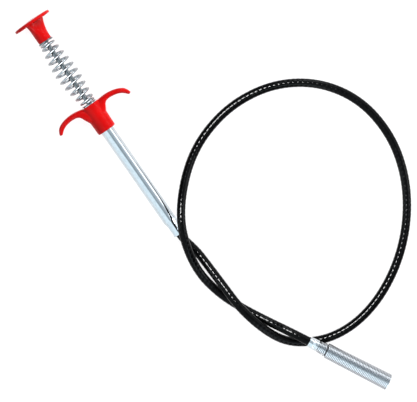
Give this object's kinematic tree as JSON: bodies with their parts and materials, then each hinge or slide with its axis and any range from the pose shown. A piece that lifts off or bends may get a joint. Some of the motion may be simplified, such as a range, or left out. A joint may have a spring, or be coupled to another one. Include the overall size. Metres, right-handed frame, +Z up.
{
  "type": "drain auger",
  "caption": "Flexible spring-plunger drain auger with a red push button and finger grip, a plated handle tube, a black sheathed cable and claws inside a spring sleeve.",
  "frame": {"origin": "on the surface that the tool lies on, under the middle of its rigid pieces' outer box", "axes": "+X is level and is the heading of the tip, out of its mouth; +Z is up; +Y completes the right-handed frame, towards the button's side"},
  "size_m": [0.3473, 0.181, 0.0283],
  "materials": {
    "red_plastic": "glossy moulded red plastic",
    "plated_steel": "bright nickel plate",
    "spring_steel": "bright plated spring wire",
    "drawn_steel": "smooth drawn steel",
    "cable_steel": "oiled steel wire",
    "black_sheath": "glossy black flexible PVC",
    "brass": "plain turned brass",
    "white_nylon": "natural nylon"
  },
  "bodies": {
    "handle": {"handle_tube": "plated_steel", "handle_ferrule": "brass", "finger_grip": "red_plastic", "rod_bushing": "white_nylon", "lower_spring_washer": "plated_steel", "return_spring": "spring_steel", "sheath_cover": "black_sheath", "sheath_liner": "cable_steel", "inner_cable": "cable_steel", "tip_ferrule": "plated_steel", "tip_adapter": "drawn_steel", "tip_sleeve": "spring_steel"},
    "plunger": {"push_button": "red_plastic", "button_washer": "plated_steel", "plunger_rod": "drawn_steel", "rod_stop_collar": "drawn_steel", "cable_connector": "drawn_steel"},
    "claw_carrier": {"claw_hub": "drawn_steel", "cable_end": "cable_steel"},
    "claw_arm_1": {"claw_arm_1": "spring_steel"},
    "claw_hook_1": {"claw_hook_1": "spring_steel"},
    "claw_arm_2": {"claw_arm_2": "spring_steel"},
    "claw_hook_2": {"claw_hook_2": "spring_steel"},
    "claw_arm_3": {"claw_arm_3": "spring_steel"},
    "claw_hook_3": {"claw_hook_3": "spring_steel"},
    "claw_arm_4": {"claw_arm_4": "spring_steel"},
    "claw_hook_4": {"claw_hook_4": "spring_steel"}
  },
  "joints": [
    {"name": "plunger_press", "type": "slide", "parent": "handle", "child": "plunger", "axis": [0.8821, -0.468, -0.0542], "range_m": [0, 0.03], "stiffness_N_per_m": 300, "springref_m": -0.01, "deforming": ["return_spring", "inner_cable"]},
    {"name": "claw_extend", "type": "slide", "parent": "handle", "child": "claw_carrier", "axis": [0.9963, 0, -0.0854], "range_m": [0, 0.03]},
    {"name": "claw_1_open", "type": "hinge", "parent": "claw_carrier", "child": "claw_arm_1", "pos_m": [0.13757, -0.05945, 0.0099], "axis": [-0.0604, -0.7071, -0.7045], "range_deg": [0, 6.07]},
    {"name": "claw_1_flare", "type": "hinge", "parent": "claw_arm_1", "child": "claw_hook_1", "pos_m": [0.15303, -0.05966, 0.00879], "axis": [-0.0604, -0.7071, -0.7045], "range_deg": [0, 16.55]},
    {"name": "claw_2_open", "type": "hinge", "parent": "claw_carrier", "child": "claw_arm_2", "pos_m": [0.13743, -0.05945, 0.00821], "axis": [-0.0604, 0.7071, -0.7045], "range_deg": [0, 6.07]},
    {"name": "claw_2_flare", "type": "hinge", "parent": "claw_arm_2", "child": "claw_hook_2", "pos_m": [0.15285, -0.05966, 0.00667], "axis": [-0.0604, 0.7071, -0.7045], "range_deg": [0, 16.55]},
    {"name": "claw_3_open", "type": "hinge", "parent": "claw_carrier", "child": "claw_arm_3", "pos_m": [0.13743, -0.05775, 0.00821], "axis": [0.0604, 0.7071, 0.7045], "range_deg": [0, 6.07]},
    {"name": "claw_3_flare", "type": "hinge", "parent": "claw_arm_3", "child": "claw_hook_3", "pos_m": [0.15285, -0.05754, 0.00667], "axis": [0.0604, 0.7071, 0.7045], "range_deg": [0, 16.55]},
    {"name": "claw_4_open", "type": "hinge", "parent": "claw_carrier", "child": "claw_arm_4", "pos_m": [0.13757, -0.05775, 0.0099], "axis": [0.0604, -0.7071, 0.7045], "range_deg": [0, 6.07]},
    {"name": "claw_4_flare", "type": "hinge", "parent": "claw_arm_4", "child": "claw_hook_4", "pos_m": [0.15303, -0.05754, 0.00879], "axis": [0.0604, -0.7071, 0.7045], "range_deg": [0, 16.55]}
  ],
  "couplings": [
    {"joint": "claw_extend", "follows": "plunger_press", "ratio": 1},
    {"joint": "claw_1_open", "follows": "plunger_press", "rad_per_m": 3.5},
    {"joint": "claw_1_flare", "follows": "plunger_press", "rad_per_m": 9.6},
    {"joint": "claw_2_open", "follows": "plunger_press", "rad_per_m": 3.5},
    {"joint": "claw_2_flare", "follows": "plunger_press", "rad_per_m": 9.6},
    {"joint": "claw_3_open", "follows": "plunger_press", "rad_per_m": 3.5},
    {"joint": "claw_3_flare", "follows": "plunger_press", "rad_per_m": 9.6},
    {"joint": "claw_4_open", "follows": "plunger_press", "rad_per_m": 3.5},
    {"joint": "claw_4_flare", "follows": "plunger_press", "rad_per_m": 9.6}
  ]
}
